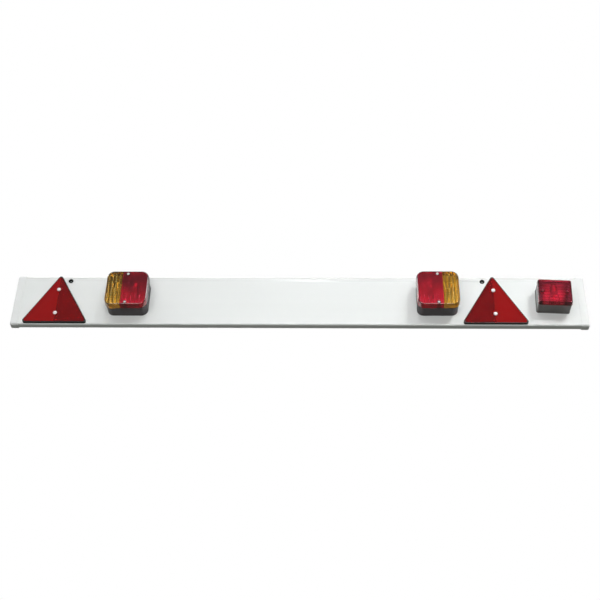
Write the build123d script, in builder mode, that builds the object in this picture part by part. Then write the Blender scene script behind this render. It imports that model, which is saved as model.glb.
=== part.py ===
from build123d import *
from collections import namedtuple
from math import acos, atan2, cos, hypot, pi, radians, sin, sqrt
import os

# Trailer lighting board, in millimetres. X runs along the board and Z is up. The lamps face -Y.
# The origin is midway between the two tie holes, on the board's front face.

# Board channel
board_length = 1366.0
board_height = 139.0
board_depth = 18.0
board_wall = 2.5
board_edge_radius = 4.0
lip_height = 12.0
lip_round = 0.8

# End caps
cap_wall = 1.8
cap_end_wall = 3.0
cap_lap = 15.0
cap_edge_radius = 2.5

# Fits shared by all pieces
slip = 0.1
hole_clearance = 0.3

# Tie holes near the top edge, and where the board lies from their middle
tie_pitch = 1000.0
tie_drop = 13.5
board_shift = 56.5
tie_bore_radius = 3.0
tie_neck_radius = 4.4
tie_flange_radius = 5.75
grommet_flange = 1.5
grommet_round = 0.5

# Places along the board, each from the nearer end of the channel to the middle of the piece
left_triangle_inset = 102.75
right_triangle_inset = 215.75
left_lamp_inset = 276.4
right_lamp_inset = 351.6
fog_inset = 77.7

# Triangle reflectors
triangle_side = 159.0
triangle_corner = 5.0
triangle_gap = 2.1
tray_depth = 7.0
tray_floor = 2.0
tray_rim = 1.8
prism_corner = 5.0
prism_proud = 0.3
prism_plate = 2.6
prism_wall = 1.6
prism_boss_radius = 5.5
triangle_screw_rise = 25.3
triangle_screw_pitch = 67.6

# Five millimetre screws and flange nuts
screw_radius = 2.5
screw_head_radius = 4.6
screw_head = 3.0
screw_reach = 7.0
nut_flats = 8.0
nut_height = 5.0
nut_flange_radius = 5.75
nut_flange = 1.2
recess_width = 0.9
recess_length = 4.4
recess_depth = 1.2
head_crown = 1.6

# Lamp housings, liners and lenses
left_lamp_rise = 1.9
right_lamp_rise = 3.8
lamp_width = 101.0
lamp_height = 98.0
lamp_corner = 18.0
lamp_draft = 2.0
lamp_depth = 51.0
base_depth = 33.5
housing_floor = 2.5
housing_wall = 2.2
foot_depth = 4.0
foot_reach = 0.8
boss_radius = 4.0
boss_drop = 1.0
post_radius = 3.0
post_inset = 7.0
seal_thickness = 1.5
seal_inset = 0.5
liner_lift = 5.5
liner_wall = 1.2
liner_gap = 0.4
lens_wall = 2.5
lens_draft = 1.2
lens_overhang = 1.0
lens_edge_radius = 3.0
pillar_radius = 4.8
pillar_gap = 0.3
amber_width = 38.5
lens_screw_pitch = 81.0
lamp_bolt_pitch = 48.0
lamp_grommet_drop = 20.0
least_corner = 1.0

# Lens screws
lens_screw_radius = 1.75
lens_screw_length = 26.0
lens_screw_head_radius = 3.5
lens_screw_head = 2.4
lens_screw_sink = 3.0
pilot_spare = 1.0

# Fog lamp, which sits a little turned on its single bolt
fog_rise = -2.3
fog_tilt = 2.6
fog_width = 80.0
fog_height = 67.0
fog_corner = 5.0
fog_draft = 0.5
fog_depth = 47.0
fog_screw_pitch = 58.0
fog_screw_sink = 11.0
fog_screw_length = 18.0
fog_bolt_radius = 3.0
fog_bolt_head_radius = 5.0
fog_nut_flats = 10.0
fog_nut_flange_radius = 7.1
fog_grommet_drop = 17.0

# Bulbs, their holders and contacts
bulb_depth = 25.0
bulb_cap_radius = 7.5
bulb_cap_length = 17.0
bulb_neck_radius = 7.0
bulb_glass_radius = 13.25
bulb_glass_length = 33.0
bulb_glass_wall = 0.8
bulb_pin_radius = 1.0
bulb_pin_reach = 1.2
bulb_pin_drop = 5.0
bulb_stud_radius = 2.2
bulb_stud = 1.0
bulb_stud_pitch = 5.2
holder_wall = 0.8
holder_length = 12.0
holder_lift = 2.0
holder_width = 12.0
contact_wall = 0.6
contact_width = 8.0
contact_foot = 6.0
contact_reach = 4.0

# Cables behind the board
cable_radius = 2.5
cable_tail = 3.5
cable_bend = 5.5
cable_rise = 8.0
cable_ease = 70.0
cable_ease_radius = 150.0
cable_neck_radius = 5.0
cable_flange_radius = 7.0
shared_neck_radius = 9.5
shared_flange_radius = 11.5
shared_bore_spread = 5.0
shared_bore_drop = 2.6
lead_bore_radius = 3.6
lead_bore_rise = 4.6
clip_pad = 1.5
clip_width = 9.0
clip_height = 17.0
clip_wall = 1.2
link_clips = 5
fog_clips = 2

# Positions worked out from the sizes above
left_end = board_shift - board_length / 2
right_end = board_shift + board_length / 2
colour_split = lamp_width / 2 - amber_width
board_top = tie_drop
board_bottom = tie_drop - board_height
board_middle = (board_top + board_bottom) / 2
fog_z = board_middle + fog_rise
liner_depth = housing_floor + liner_lift
liner_top = base_depth - boss_drop
rim_depth = base_depth + seal_thickness
cable_y = board_wall + clip_pad + slip + cable_radius
triangle_base = board_bottom + triangle_gap
bulb_length = bulb_cap_length + bulb_glass_length

Lamp = namedtuple(
    "Lamp", "station width height corner draft depth screws sink screw_length bolts bolt_radius grommet neck")
Bulb = namedtuple("Bulb", "name offset studs")


def face_spot(x, z, tilt=0.0):
    """Plane on the board's face at x, z that looks out of the face, turned clockwise by tilt degrees."""
    turn = radians(tilt)
    return Plane(origin=(x, 0, z), x_dir=(cos(turn), 0, -sin(turn)), z_dir=(0, -1, 0))


def moved(plane, across, up, out=0.0):
    """The same plane, moved across, up and out along its own directions."""
    return Plane(origin=plane.from_local_coords((across, up, out)), x_dir=plane.x_dir, z_dir=plane.z_dir)


def upended(plane):
    """The same plane, turned half round on its own normal."""
    return Plane(origin=plane.origin, x_dir=-plane.x_dir, z_dir=plane.z_dir)


def write(piece, name):
    """Label a finished piece and write it to its own file."""
    piece.part.label = name
    export_step(piece.part, f"parts/{name}.step")


def rod(plane, spots, radius, length, mode=Mode.ADD):
    """Round bar or hole at each spot of a plane, along its normal."""
    with BuildSketch(plane) as section:
        with Locations(*spots):
            Circle(radius)
    extrude(section.sketch, amount=length, mode=mode)


def plate(plane, width, height, thickness, mode=Mode.ADD):
    """Flat block centred on a plane and standing out of it."""
    with BuildSketch(plane) as section:
        Rectangle(width, height)
    extrude(section.sketch, amount=thickness, mode=mode)


def lengthwise(plane):
    """Plane through the same point whose second direction is the first plane's normal."""
    return Plane(origin=plane.origin, x_dir=plane.x_dir, z_dir=plane.x_dir.cross(plane.z_dir))


def crosswise(plane):
    """Plane through the same point whose normal is the first plane's second direction."""
    return Plane(origin=plane.origin, x_dir=plane.x_dir, z_dir=plane.y_dir)


def add_screw(plane, head_radius, head, shank_radius, length):
    """Pan head screw with a cross recess, its head seated on the plane."""
    edge = head - head_crown
    with BuildSketch(lengthwise(plane)) as half:
        with BuildLine():
            TangentArc((0, head), (head_radius, edge), tangent=(1, 0))
            Polyline((head_radius, edge), (head_radius, 0), (shank_radius, 0),
                     (shank_radius, -length), (0, -length), (0, head))
        make_face()
    revolve(half.sketch, axis=Axis(plane.origin, plane.z_dir))
    for wide, tall in ((recess_length, recess_width), (recess_width, recess_length)):
        plate(plane.offset(head), wide, tall, -recess_depth, Mode.SUBTRACT)


def add_nut(plane, flats, bore_radius, flange_radius):
    """Flange nut behind the board, seated on the plane."""
    with BuildSketch(plane) as hexagon:
        RegularPolygon(flats / 2, 6, major_radius=False)
    extrude(hexagon.sketch, amount=-nut_height)
    rod(plane, [(0, 0)], flange_radius, -nut_flange)
    rod(plane, [(0, 0)], bore_radius, -nut_height, Mode.SUBTRACT)


def make_board(holes):
    """Channel with an open back, two back lips and a round hole for each place in holes."""
    inner_radius = max(board_edge_radius - board_wall, least_corner / 2)
    mouth = board_height - 2 * lip_height
    with BuildPart() as board:
        with BuildSketch(Plane.YZ.offset(board_shift - board_length / 2)) as section:
            with Locations((board_depth / 2, board_middle)):
                RectangleRounded(board_depth, board_height, board_edge_radius)
                RectangleRounded(board_depth - 2 * board_wall, board_height - 2 * board_wall,
                                 inner_radius, mode=Mode.SUBTRACT)
            with Locations((board_depth, board_middle)):
                Rectangle(3 * board_wall, mouth, mode=Mode.SUBTRACT)
            lip_ends = section.vertices().filter_by_position(
                Axis.Y, board_middle - mouth / 2 - lip_round, board_middle + mouth / 2 + lip_round)
            fillet(lip_ends, lip_round)
        extrude(amount=board_length)
        for place, radius in holes:
            rod(place, [(0, 0)], radius, -board_wall, Mode.SUBTRACT)
    return board


def make_end_cap(side):
    """Cap over one end of the channel, side -1 on the left and 1 on the right."""
    end = Plane.YZ.offset(board_shift + side * (board_length / 2 + cap_end_wall))
    centre = (board_depth / 2, board_middle)
    pocket = (board_depth + 2 * slip, board_height + 2 * slip, board_edge_radius + slip)
    with BuildPart() as cap:
        with BuildSketch(end):
            with Locations(centre):
                RectangleRounded(*(size + 2 * cap_wall for size in pocket[:2]), pocket[2] + cap_wall)
        extrude(amount=-side * (cap_end_wall + cap_lap))
        fillet(cap.faces().sort_by(Axis.X)[0 if side < 0 else -1].edges(), cap_edge_radius)
        with BuildSketch(end.offset(-side * cap_end_wall)):
            with Locations(centre):
                RectangleRounded(*pocket)
        extrude(amount=-side * cap_lap, mode=Mode.SUBTRACT)
    return cap


def make_grommet(place, front, neck_radius, flange_radius, bores):
    """Rubber grommet from the seat that lies front of the board's face to the board's back."""
    with BuildPart() as grommet:
        rod(place.offset(front), [(0, 0)], flange_radius, grommet_flange)
        rod(place.offset(front), [(0, 0)], neck_radius, -front - board_wall)
        rod(place.offset(-board_wall), [(0, 0)], flange_radius, -grommet_flange)
        rims = grommet.edges().filter_by(GeomType.CIRCLE).sort_by(Axis.Y)
        fillet([rims[0], rims[-1]], grommet_round)
        for across, up, radius in bores:
            rod(place.offset(front + grommet_flange), [(across, up)], radius,
                -front - board_wall - 2 * grommet_flange, Mode.SUBTRACT)
    return grommet


def triangle(plane, inset, corner):
    """Rounded triangle sketch that stands on the plane's own base line, drawn in by inset."""
    side = triangle_side - 2 * sqrt(3) * inset
    with BuildSketch(plane) as outline:
        with BuildLine():
            Polyline((-side / 2, inset), (side / 2, inset), (0, inset + side * sqrt(3) / 2), close=True)
        make_face()
        fillet(outline.vertices(), corner)
    return outline.sketch


def triangle_screw_spots():
    """Places of the two screws on a triangle's centre line."""
    return [(0, triangle_screw_rise), (0, triangle_screw_rise + triangle_screw_pitch)]


def make_tray(place):
    """Black backing tray of a triangle reflector."""
    with BuildPart() as tray:
        extrude(triangle(place, 0, triangle_corner), amount=tray_depth)
        extrude(triangle(place.offset(tray_floor), tray_rim, prism_corner),
                amount=tray_depth - tray_floor, mode=Mode.SUBTRACT)
        rod(place, triangle_screw_spots(), screw_radius + hole_clearance, tray_floor, Mode.SUBTRACT)
    return tray


def make_prism(place):
    """Red moulding of a triangle reflector, hollow behind its face plate."""
    front = tray_depth - tray_floor + prism_proud
    seat = place.offset(tray_floor)
    with BuildPart() as prism:
        extrude(triangle(seat, tray_rim + slip, prism_corner), amount=front)
        extrude(triangle(seat, tray_rim + slip + prism_wall, prism_corner - prism_wall),
                amount=front - prism_plate, mode=Mode.SUBTRACT)
        rod(seat, triangle_screw_spots(), prism_boss_radius, front)
        rod(seat, triangle_screw_spots(), screw_radius + hole_clearance, front, Mode.SUBTRACT)
    return prism


def base_outline(lamp, depth, inset=0.0):
    """Width, height and corner radius of a housing at a depth from the board, drawn in by inset."""
    shrink = lens_overhang + lamp.draft * (1 - depth / base_depth) + inset
    return lamp.width - 2 * shrink, lamp.height - 2 * shrink, max(lamp.corner - shrink, least_corner)


def lens_outline(lamp, depth, inset=0.0):
    """Width, height and corner radius of a lens at a depth from the board, drawn in by inset."""
    shrink = lens_draft * (depth - rim_depth) / (lamp.depth - rim_depth) + inset
    return lamp.width - 2 * shrink, lamp.height - 2 * shrink, max(lamp.corner - shrink, least_corner)


def add_frustum(lamp, outline, near, far, inset=0.0, mode=Mode.ADD):
    """Tapered block of a lamp between two depths, in the outline that a function gives."""
    with BuildSketch(lamp.station.offset(near)) as near_section:
        RectangleRounded(*outline(lamp, near, inset))
    with BuildSketch(lamp.station.offset(far)) as far_section:
        RectangleRounded(*outline(lamp, far, inset))
    loft([near_section.sketch, far_section.sketch], ruled=True, mode=mode)


def make_base(lamp):
    """Housing with a foot, screw bosses, posts for the liner, bolt holes and a cable hole."""
    floor_width, floor_height, _ = base_outline(lamp, 0, housing_wall + post_inset)
    bottom = lamp.station.offset(housing_floor)
    with BuildPart() as base:
        add_frustum(lamp, base_outline, 0, base_depth)
        add_frustum(lamp, base_outline, housing_floor, base_depth, housing_wall, Mode.SUBTRACT)
        rod(bottom, lamp.screws, boss_radius, liner_top - housing_floor)
        with BuildSketch(bottom):
            with GridLocations(floor_width, floor_height, 2, 2):
                Circle(post_radius)
        extrude(amount=liner_lift)
        add_frustum(lamp, base_outline, 0, base_depth, mode=Mode.INTERSECT)
        with BuildSketch(lamp.station):
            RectangleRounded(*base_outline(lamp, 0, -foot_reach))
            RectangleRounded(*base_outline(lamp, 0, housing_wall / 2), mode=Mode.SUBTRACT)
        extrude(amount=foot_depth)
        pilot = lamp.screw_length + lamp.sink + liner_top - lamp.depth + pilot_spare
        rod(lamp.station.offset(liner_top), lamp.screws, lens_screw_radius + slip, -pilot, Mode.SUBTRACT)
        rod(lamp.station, lamp.bolts, lamp.bolt_radius + hole_clearance, housing_floor, Mode.SUBTRACT)
        rod(lamp.station, [lamp.grommet], lamp.neck + slip, housing_floor, Mode.SUBTRACT)
    return base


def make_seal(lamp):
    """Rubber ring between a housing and its lens."""
    with BuildPart() as seal:
        with BuildSketch(lamp.station.offset(base_depth)):
            RectangleRounded(*base_outline(lamp, base_depth, seal_inset))
            RectangleRounded(*base_outline(lamp, base_depth, housing_wall), mode=Mode.SUBTRACT)
        extrude(amount=seal_thickness)
    return seal


def make_liner(lamp, divider):
    """Bright lining tray of a housing, with a dividing wall at that distance across if there is one."""
    inset = housing_wall + liner_gap
    floor = liner_depth + liner_wall
    with BuildPart() as liner:
        add_frustum(lamp, base_outline, liner_depth, liner_top, inset)
        add_frustum(lamp, base_outline, floor, liner_top, inset + liner_wall, Mode.SUBTRACT)
        rod(lamp.station.offset(liner_depth), lamp.screws, pillar_radius + 2 * pillar_gap,
            liner_top - liner_depth, Mode.SUBTRACT)
        if divider:
            wall_height = base_outline(lamp, floor, inset + liner_wall)[1]
            plate(moved(lamp.station, divider, 0, liner_depth), liner_wall, wall_height,
                  lamp.depth - lens_wall - 2 * pillar_gap - liner_depth)
    return liner


def make_lens(lamp):
    """Lens shell with a rounded front edge and two screw pillars."""
    front = lamp.station.offset(lamp.depth)
    inside = lamp.depth - lens_wall
    pillar_end = liner_top + pillar_gap
    with BuildPart() as lens:
        add_frustum(lamp, lens_outline, rim_depth, lamp.depth)
        fillet(lens.faces().sort_by(Axis.Y)[0].edges(), lens_edge_radius)
        add_frustum(lamp, lens_outline, rim_depth, inside, lens_wall, Mode.SUBTRACT)
        rod(lamp.station.offset(inside), lamp.screws, pillar_radius, pillar_end - inside)
        rod(front, lamp.screws, lens_screw_head_radius + hole_clearance, -lamp.sink, Mode.SUBTRACT)
        rod(front, lamp.screws, lens_screw_radius + hole_clearance, pillar_end - lamp.depth, Mode.SUBTRACT)
    return lens


def make_lens_half(lens, border, keep):
    """The part of a lens that lies on one side of its colour border."""
    with BuildPart() as half:
        add(lens.part)
        split(bisect_by=border, keep=keep)
    return half


def glass_outline(seat, inset):
    """Half section of a bulb glass, a cone that runs tangent into a ball, drawn in by inset."""
    low = bulb_cap_length - bulb_length / 2
    top = bulb_length / 2 - inset
    neck = bulb_neck_radius - inset
    ball = bulb_glass_radius - inset
    centre = top - ball
    swing = atan2(low - centre, neck) + acos(ball / hypot(neck, low - centre))
    tangent = (ball * cos(swing), centre + ball * sin(swing))
    with BuildSketch(seat) as outline:
        with BuildLine():
            Polyline((0, low), (neck, low), tangent)
            middle = (swing + pi / 2) / 2
            ThreePointArc(tangent, (ball * cos(middle), centre + ball * sin(middle)), (0, top))
            Line((0, top), (0, low))
        make_face()
    return outline.sketch


def make_bulb_glass(seat):
    """Hollow bulb glass on its cap."""
    axis = Axis(seat.origin, seat.y_dir)
    with BuildPart() as glass:
        revolve(glass_outline(seat, 0), axis=axis)
        revolve(glass_outline(seat, bulb_glass_wall), axis=axis, mode=Mode.SUBTRACT)
    return glass


def make_bulb_cap(seat, studs):
    """Metal bulb cap with two side pins and one or two contact studs at its end."""
    bottom = crosswise(moved(seat, 0, -bulb_length / 2))
    pin_reach = bulb_cap_radius + bulb_pin_reach
    pin_plane = moved(seat, -pin_reach, bulb_cap_length - bulb_length / 2 - bulb_pin_drop)
    stud_spots = [((index - (studs - 1) / 2) * bulb_stud_pitch, 0) for index in range(studs)]
    with BuildPart() as cap:
        rod(bottom, [(0, 0)], bulb_cap_radius, bulb_cap_length)
        rod(bottom, stud_spots, bulb_stud_radius, -bulb_stud)
        rod(Plane(origin=pin_plane.origin, z_dir=seat.x_dir), [(0, 0)], bulb_pin_radius, 2 * pin_reach)
    return cap


def make_holder(seat):
    """Sheet metal bulb holder: a slotted ring on a riser and a foot."""
    floor = liner_depth + liner_wall - bulb_depth
    low = holder_lift - bulb_length / 2
    top = low + holder_length
    inner = bulb_cap_radius + slip
    pin_height = bulb_cap_length - bulb_length / 2 - bulb_pin_drop - bulb_pin_radius - hole_clearance
    slot_width = 2 * (bulb_pin_radius + hole_clearance)
    with BuildPart() as holder:
        rod(crosswise(moved(seat, 0, low)), [(0, 0)], inner + holder_wall, holder_length)
        plate(moved(seat, 0, top - holder_wall / 2, floor), holder_width, holder_wall, -floor)
        plate(moved(seat, 0, top, floor), holder_width, holder_width, holder_wall)
        rod(crosswise(moved(seat, 0, low)), [(0, 0)], inner, holder_length, Mode.SUBTRACT)
        plate(moved(seat, 0, (pin_height + top) / 2, -slot_width / 2), 4 * bulb_cap_radius,
              top - pin_height, slot_width, Mode.SUBTRACT)
    return holder


def make_contact(seat):
    """Spring contact on the liner's floor, bent up to the end of the bulb's cap."""
    floor = liner_depth + liner_wall - bulb_depth
    back = -bulb_length / 2 - bulb_stud - contact_wall
    with BuildPart() as contact:
        plate(moved(seat, 0, back + contact_wall / 2, floor), contact_width, contact_wall,
              contact_reach - floor)
        plate(moved(seat, 0, back + contact_foot / 2, floor), contact_width, contact_foot, contact_wall)
    return contact


def make_cable(start, end, run_height):
    """Cable from one bore to another, straight out, then eased down to the clips behind the board."""
    inside = -housing_floor - cable_tail
    outside = board_wall + cable_rise
    route = [
        (start.X, inside, start.Z),
        (start.X, outside, start.Z),
        (start.X + cable_ease, cable_y, run_height),
        (end.X - cable_ease, cable_y, run_height),
        (end.X, outside, end.Z),
        (end.X, inside, end.Z),
    ]
    with BuildPart() as cable:
        with BuildLine():
            FilletPolyline(*route, radius=[cable_bend, cable_ease_radius, cable_ease_radius, cable_bend])
        with BuildSketch(Plane(origin=route[0], z_dir=(0, 1, 0))):
            Circle(cable_radius)
        sweep()
    return cable


def clip_places(start, end, count):
    """Places of the clips, spread evenly along a cable's straight run."""
    span = end.X - start.X - 2 * cable_ease
    return [start.X + cable_ease + span * (index + 0.5) / count for index in range(count)]


def add_clip(x, height):
    """Stick-on clip: a pad on the board's back with a loop around the cable."""
    loop_radius = cable_radius + slip + clip_wall
    with BuildSketch(Plane.YZ.offset(x - clip_width / 2)) as section:
        with Locations((board_wall + clip_pad / 2, height)):
            Rectangle(clip_pad, clip_height)
        with Locations(((board_wall + cable_y) / 2, height)):
            Rectangle(cable_y - board_wall, 2 * loop_radius)
        with Locations((cable_y, height)):
            Circle(loop_radius)
            Circle(cable_radius + slip, mode=Mode.SUBTRACT)
    extrude(section.sketch, amount=clip_width)


def write_lamp(lamp, bulbs, outward, prefix, suffix):
    """Make and write the housing, seal, liner and bulb pieces of one lamp, whose bulbs hang cap up."""
    write(make_base(lamp), f"{prefix}_base{suffix}")
    write(make_seal(lamp), f"{prefix}_seal{suffix}")
    divider = outward * colour_split if len(bulbs) > 1 else 0
    write(make_liner(lamp, divider), f"{prefix}_reflector{suffix}")
    for bulb in bulbs:
        seat = upended(moved(lamp.station, outward * bulb.offset, 0, bulb_depth))
        write(make_bulb_glass(seat), f"{bulb.name}_glass{suffix}")
        write(make_bulb_cap(seat, bulb.studs), f"{bulb.name}_cap{suffix}")
        write(make_holder(seat), f"{bulb.name}_holder{suffix}")
        write(make_contact(seat), f"{bulb.name}_contact{suffix}")


os.makedirs("parts", exist_ok=True)

sides = {"left": -1, "right": 1}
tie_places = {name: face_spot(side * tie_pitch / 2, 0) for name, side in sides.items()}
triangle_places = {
    "left": face_spot(left_end + left_triangle_inset, triangle_base),
    "right": face_spot(right_end - right_triangle_inset, triangle_base),
}
lamp_places = {
    "left": face_spot(left_end + left_lamp_inset, board_middle + left_lamp_rise),
    "right": face_spot(right_end - right_lamp_inset, board_middle + right_lamp_rise),
}
necks = {"left": cable_neck_radius, "right": shared_neck_radius}
lamps = {
    name: Lamp(
        station=place,
        width=lamp_width,
        height=lamp_height,
        corner=lamp_corner,
        draft=lamp_draft,
        depth=lamp_depth,
        screws=[(0, lens_screw_pitch / 2), (0, -lens_screw_pitch / 2)],
        sink=lens_screw_sink,
        screw_length=lens_screw_length,
        bolts=[(lamp_bolt_pitch / 2, 0), (-lamp_bolt_pitch / 2, 0)],
        bolt_radius=screw_radius,
        grommet=(0, -lamp_grommet_drop),
        neck=necks[name],
    )
    for name, place in lamp_places.items()
}
fog = Lamp(
    station=face_spot(right_end - fog_inset, fog_z, fog_tilt),
    width=fog_width,
    height=fog_height,
    corner=fog_corner,
    draft=fog_draft,
    depth=fog_depth,
    screws=[(fog_screw_pitch / 2, 0), (-fog_screw_pitch / 2, 0)],
    sink=fog_screw_sink,
    screw_length=fog_screw_length,
    bolts=[(0, 0)],
    bolt_radius=fog_bolt_radius,
    grommet=(0, -fog_grommet_drop),
    neck=cable_neck_radius,
)
liner_half = base_outline(lamps["left"], bulb_depth, housing_wall + liner_gap + liner_wall)[0] / 2
stop_bulb = Bulb("stop", (colour_split - liner_half) / 2, 2)
indicator_bulb = Bulb("indicator", (colour_split + liner_half) / 2, 1)
fog_bulb = Bulb("fog", 0, 1)

# Fixing places that the board's holes, the screws and the nuts share
lamp_bolt_places = [moved(lamp.station, *spot) for lamp in lamps.values() for spot in lamp.bolts]
triangle_screw_places = [
    moved(place, *spot) for place in triangle_places.values() for spot in triangle_screw_spots()
]
all_lamps = [*lamps.values(), fog]
grommet_places = [moved(lamp.station, *lamp.grommet) for lamp in all_lamps]

# Board, end caps and tie grommets
holes = [(place, tie_neck_radius + slip) for place in tie_places.values()]
holes += [(place, screw_radius + hole_clearance) for place in lamp_bolt_places + triangle_screw_places]
holes += [(place, lamp.neck + slip) for place, lamp in zip(grommet_places, all_lamps)]
holes += [(fog.station, fog_bolt_radius + hole_clearance)]
write(make_board(holes), "board")
for name, side in sides.items():
    write(make_end_cap(side), f"end_cap_{name}")
    tie_grommet = make_grommet(
        tie_places[name], 0, tie_neck_radius, tie_flange_radius, [(0, 0, tie_bore_radius)])
    write(tie_grommet, f"tie_grommet_{name}")

# Triangle reflectors
for name, place in triangle_places.items():
    write(make_tray(place), f"triangle_tray_{name}")
    write(make_prism(place), f"triangle_prism_{name}")

# Combination lamps, amber on the outer side
for name, side in sides.items():
    lamp = lamps[name]
    write_lamp(lamp, [stop_bulb, indicator_bulb], side, "lamp", f"_{name}")
    border_origin = lamp.station.from_local_coords((side * colour_split, 0, 0))
    border = Plane(origin=border_origin, z_dir=lamp.station.x_dir * side)
    lens = make_lens(lamp)
    write(make_lens_half(lens, border, Keep.TOP), f"lens_amber_{name}")
    write(make_lens_half(lens, border, Keep.BOTTOM), f"lens_red_{name}")

# Fog lamp
write_lamp(fog, [fog_bulb], 1, "fog", "")
write(make_lens(fog), "fog_lens")

# Cable grommets, the right one shared by both cables and the free bore of the towing lead
cable_bore = cable_radius + slip
shared_bores = [
    (-shared_bore_spread, -shared_bore_drop, cable_bore),
    (shared_bore_spread, -shared_bore_drop, cable_bore),
    (0, lead_bore_rise, lead_bore_radius),
]
left_place, right_place, fog_place = grommet_places
write(make_grommet(left_place, housing_floor, cable_neck_radius, cable_flange_radius,
                   [(0, 0, cable_bore)]), "lamp_grommet_left")
write(make_grommet(right_place, housing_floor, shared_neck_radius, shared_flange_radius,
                   shared_bores), "lamp_grommet_right")
write(make_grommet(fog_place, housing_floor, cable_neck_radius, cable_flange_radius,
                   [(0, 0, cable_bore)]), "fog_grommet")

# Screws, bolts and nuts
with BuildPart() as lens_screws:
    for lamp in all_lamps:
        for spot in lamp.screws:
            add_screw(moved(lamp.station, *spot, lamp.depth - lamp.sink), lens_screw_head_radius,
                      lens_screw_head, lens_screw_radius, lamp.screw_length)
write(lens_screws, "lens_screws")

with BuildPart() as lamp_bolts:
    for place in lamp_bolt_places:
        add_screw(place.offset(housing_floor), screw_head_radius, screw_head, screw_radius,
                  housing_floor + board_wall + screw_reach)
write(lamp_bolts, "lamp_bolts")

with BuildPart() as triangle_screws:
    for place in triangle_screw_places:
        add_screw(place.offset(tray_depth + prism_proud), screw_head_radius, screw_head, screw_radius,
                  tray_depth + prism_proud + board_wall + screw_reach)
write(triangle_screws, "triangle_screws")

with BuildPart() as flange_nuts:
    for place in lamp_bolt_places + triangle_screw_places:
        add_nut(place.offset(-board_wall), nut_flats, screw_radius + slip, nut_flange_radius)
write(flange_nuts, "flange_nuts")

with BuildPart() as fog_bolt:
    add_screw(fog.station.offset(housing_floor), fog_bolt_head_radius, screw_head, fog_bolt_radius,
              housing_floor + board_wall + screw_reach)
write(fog_bolt, "fog_bolt")

with BuildPart() as fog_nut:
    add_nut(fog.station.offset(-board_wall), fog_nut_flats, fog_bolt_radius + slip, fog_nut_flange_radius)
write(fog_nut, "fog_nut")

# Cables along the back of the board, and their clips
link_start = left_place.origin
link_end = right_place.from_local_coords(Vector(*shared_bores[0][:2], 0))
fog_start = right_place.from_local_coords(Vector(*shared_bores[1][:2], 0))
fog_end = fog_place.origin
write(make_cable(link_start, link_end, link_start.Z), "link_cable")
write(make_cable(fog_start, fog_end, fog_end.Z), "fog_cable")

with BuildPart() as cable_clips:
    for x in clip_places(link_start, link_end, link_clips):
        add_clip(x, link_start.Z)
    for x in clip_places(fog_start, fog_end, fog_clips):
        add_clip(x, fog_end.Z)
write(cable_clips, "cable_clips")
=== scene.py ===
import logging
import math
from collections.abc import Iterator
from contextlib import contextmanager
from dataclasses import dataclass, replace
from enum import Enum
from functools import reduce

import bmesh
import bpy
from mathutils import Matrix, Vector


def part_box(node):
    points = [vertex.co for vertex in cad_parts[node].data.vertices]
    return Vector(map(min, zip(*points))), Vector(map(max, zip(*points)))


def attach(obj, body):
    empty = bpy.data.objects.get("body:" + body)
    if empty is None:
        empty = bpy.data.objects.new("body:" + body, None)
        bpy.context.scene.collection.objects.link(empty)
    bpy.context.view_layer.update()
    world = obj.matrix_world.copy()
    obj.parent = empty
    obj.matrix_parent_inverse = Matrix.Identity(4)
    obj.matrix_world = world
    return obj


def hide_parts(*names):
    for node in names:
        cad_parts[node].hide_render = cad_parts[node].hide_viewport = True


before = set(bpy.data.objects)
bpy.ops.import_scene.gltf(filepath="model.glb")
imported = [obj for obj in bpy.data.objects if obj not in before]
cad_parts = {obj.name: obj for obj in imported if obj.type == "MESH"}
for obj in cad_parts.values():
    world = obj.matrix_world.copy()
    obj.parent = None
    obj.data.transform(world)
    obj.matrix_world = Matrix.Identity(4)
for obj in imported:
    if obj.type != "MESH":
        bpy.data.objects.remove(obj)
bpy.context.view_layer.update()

log = logging.getLogger("lighting_board")
Node = bpy.types.Node
Socket = bpy.types.NodeSocket
Mesh = bpy.types.Mesh
Material = bpy.types.Material
Colour = tuple[float, float, float]
Tones = tuple[Colour, Colour]
Place = tuple[float, float, float]
Spot = tuple[float, float]

CLOSE = 1e-6
ROOT_3 = math.sqrt(3)
QUARTER_TURN = math.pi / 2
OUTER_HALF = "outer_half"
# Colour of the dust film, and of the shade painted along the board's top edge.
DUST_AND_TOP_SHADE: Colour = (0.42, 0.40, 0.37)
DUST_DULLS = 0.5
POLISH = 0.03
FRONT_BEND = 1.55
EDGE_BEND = 2.0
FLAT_WEIGHT = 100
LENS_BORDER = 0.012
LENS_JOINT = 0.0008
PAST_LENS = 0.06


class Side(Enum):
    """The two ends of the board, seen from the front."""

    LEFT = "left"
    RIGHT = "right"

    @property
    def outward(self) -> float:
        """Direction along X towards this end of the board."""
        return -1.0 if self is Side.LEFT else 1.0


class Lay(Enum):
    """Which way the flutes of a lens run."""

    UPRIGHT = 0.0
    LEVEL = 90.0


LAMP_CENTRES: dict[Side, Spot] = {Side.LEFT: (-0.3501, -0.0541), Side.RIGHT: (0.3879, -0.0522)}


def opaque(shade: object) -> object:
    """Adds full alpha to a plain colour and leaves a socket as it is."""
    return (*shade, 1.0) if isinstance(shade, tuple) else shade


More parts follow.
